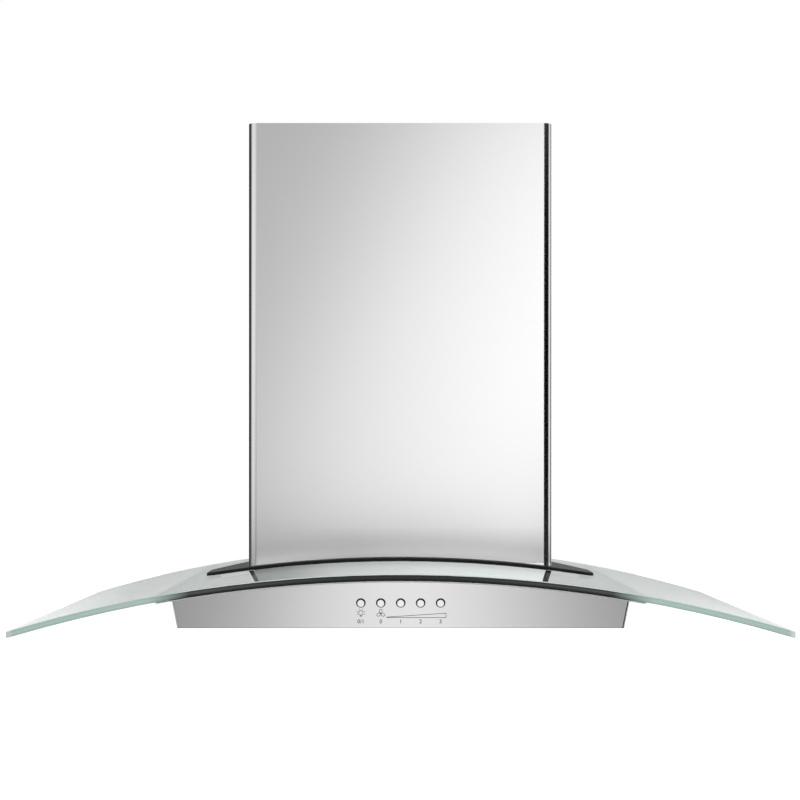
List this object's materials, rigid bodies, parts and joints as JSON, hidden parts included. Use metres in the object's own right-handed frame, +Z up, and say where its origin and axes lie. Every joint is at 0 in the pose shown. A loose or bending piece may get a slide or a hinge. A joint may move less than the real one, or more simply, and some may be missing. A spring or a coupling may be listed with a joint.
{
  "type": "range hood",
  "caption": "Wall range hood with an arched glass canopy, a shallow steel body with push buttons and a telescoping square flue.",
  "frame": {"origin": "on the wall plane, midway between the two hanging holes of the wall plate", "axes": "+X runs to the cook's right along the glass, +Y points into the wall, -Y to the cook, +Z up"},
  "size_m": [0.75, 0.5, 0.5333],
  "materials": {
    "glass": "clear float glass, polished edge",
    "lamp_glass": "frosted",
    "gasket_rubber": "matt",
    "nylon": "natural nylon",
    "dark_plate": "satin dark grey",
    "brushed_steel": "brushed",
    "deck_steel": "satin",
    "galvanised_steel": "zinc coated",
    "motor_metal": "laminated stator with plated bells",
    "black_plastic": "moulded",
    "wheel_plastic": "moulded",
    "button_metal": "satin chrome",
    "filter_aluminium": "natural",
    "spring_steel": "plain",
    "grip_plastic": "moulded",
    "lamp_rim": "satin",
    "screw_steel": "plated"
  },
  "bodies": {
    "root": {"glass_canopy": "glass", "glass_gasket": "gasket_rubber", "glass_bushes": "nylon", "clamp_plate": "dark_plate", "body_shell": "brushed_steel", "body_deck": "deck_steel", "body_back": "galvanised_steel", "bottom_pan": "brushed_steel", "switch_block": "black_plastic", "switch_bracket": "galvanised_steel", "wall_plate": "galvanised_steel", "air_box": "galvanised_steel", "air_box_top": "galvanised_steel", "scroll_housing": "galvanised_steel", "motor": "motor_metal", "motor_bracket": "galvanised_steel", "run_capacitor": "black_plastic", "capacitor_strap": "galvanised_steel", "duct_collar": "black_plastic", "lower_flue_cover": "brushed_steel", "terminal_box": "galvanised_steel", "terminal_box_cover": "galvanised_steel", "cable_gland": "nylon", "glass_screws": "screw_steel", "pan_screws": "screw_steel", "collar_screws": "screw_steel", "motor_screws": "screw_steel", "flue_screws": "screw_steel", "wall_plate_screws": "screw_steel", "flue_clip_left": "galvanised_steel", "flue_clip_right": "galvanised_steel", "lamp_housing_left": "lamp_rim", "lamp_housing_right": "lamp_rim", "lamp_lens_left": "lamp_glass", "lamp_lens_right": "lamp_glass", "lamp_bulb_left": "lamp_glass", "lamp_bulb_right": "lamp_glass"},
    "impeller": {"impeller": "wheel_plastic", "motor_shaft": "motor_metal"},
    "damper_flap_left": {"damper_flap_left": "black_plastic"},
    "damper_flap_right": {"damper_flap_right": "black_plastic"},
    "upper_flue": {"upper_flue_cover": "brushed_steel", "upper_flue_bracket": "galvanised_steel"},
    "filter_left": {"filter_frame_left": "filter_aluminium", "filter_mesh_left": "filter_aluminium", "filter_catch_left": "spring_steel", "filter_grip_left": "grip_plastic"},
    "filter_right": {"filter_frame_right": "filter_aluminium", "filter_mesh_right": "filter_aluminium", "filter_catch_right": "spring_steel", "filter_grip_right": "grip_plastic"},
    "light_button": {"light_button": "button_metal"},
    "fan_off_button": {"fan_off_button": "button_metal"},
    "fan_low_button": {"fan_low_button": "button_metal"},
    "fan_medium_button": {"fan_medium_button": "button_metal"},
    "fan_high_button": {"fan_high_button": "button_metal"}
  },
  "joints": [
    {"name": "light_press", "type": "slide", "parent": "root", "child": "light_button", "axis": [0, 0.9854, 0.1702], "range_m": [0, 0.0025], "stiffness_N_per_m": 300, "springref_m": -0.002},
    {"name": "fan_off_press", "type": "slide", "parent": "root", "child": "fan_off_button", "axis": [0, 0.9854, 0.1702], "range_m": [0, 0.0025], "stiffness_N_per_m": 300, "springref_m": -0.002},
    {"name": "fan_low_press", "type": "slide", "parent": "root", "child": "fan_low_button", "axis": [0, 0.9854, 0.1702], "range_m": [0, 0.0025], "stiffness_N_per_m": 300, "springref_m": -0.002},
    {"name": "fan_medium_press", "type": "slide", "parent": "root", "child": "fan_medium_button", "axis": [0, 0.9854, 0.1702], "range_m": [0, 0.0025], "stiffness_N_per_m": 300, "springref_m": -0.002},
    {"name": "fan_high_press", "type": "slide", "parent": "root", "child": "fan_high_button", "axis": [0, 0.9854, 0.1702], "range_m": [0, 0.0025], "stiffness_N_per_m": 300, "springref_m": -0.002},
    {"name": "impeller_spin", "type": "hinge", "parent": "root", "child": "impeller", "pos_m": [0, -0.155, -0.06], "axis": [1, 0, 0], "continuous": true},
    {"name": "damper_left_hinge", "type": "hinge", "parent": "root", "child": "damper_flap_left", "pos_m": [-0.003, -0.088, 0.0613], "axis": [0, 1, 0], "range_deg": [0, 78]},
    {"name": "damper_right_hinge", "type": "hinge", "parent": "root", "child": "damper_flap_right", "pos_m": [0.003, -0.088, 0.0613], "axis": [0, -1, 0], "range_deg": [0, 78]},
    {"name": "upper_flue_rise", "type": "slide", "parent": "root", "child": "upper_flue", "axis": [0, 0, 1], "range_m": [0, 0.3]},
    {"name": "filter_left_drop", "type": "hinge", "parent": "root", "child": "filter_left", "pos_m": [-0.1, -0.0488, -0.2176], "axis": [1, 0, 0], "range_deg": [0, 80]},
    {"name": "filter_right_drop", "type": "hinge", "parent": "root", "child": "filter_right", "pos_m": [0.1, -0.0488, -0.2176], "axis": [1, 0, 0], "range_deg": [0, 80]}
  ]
}
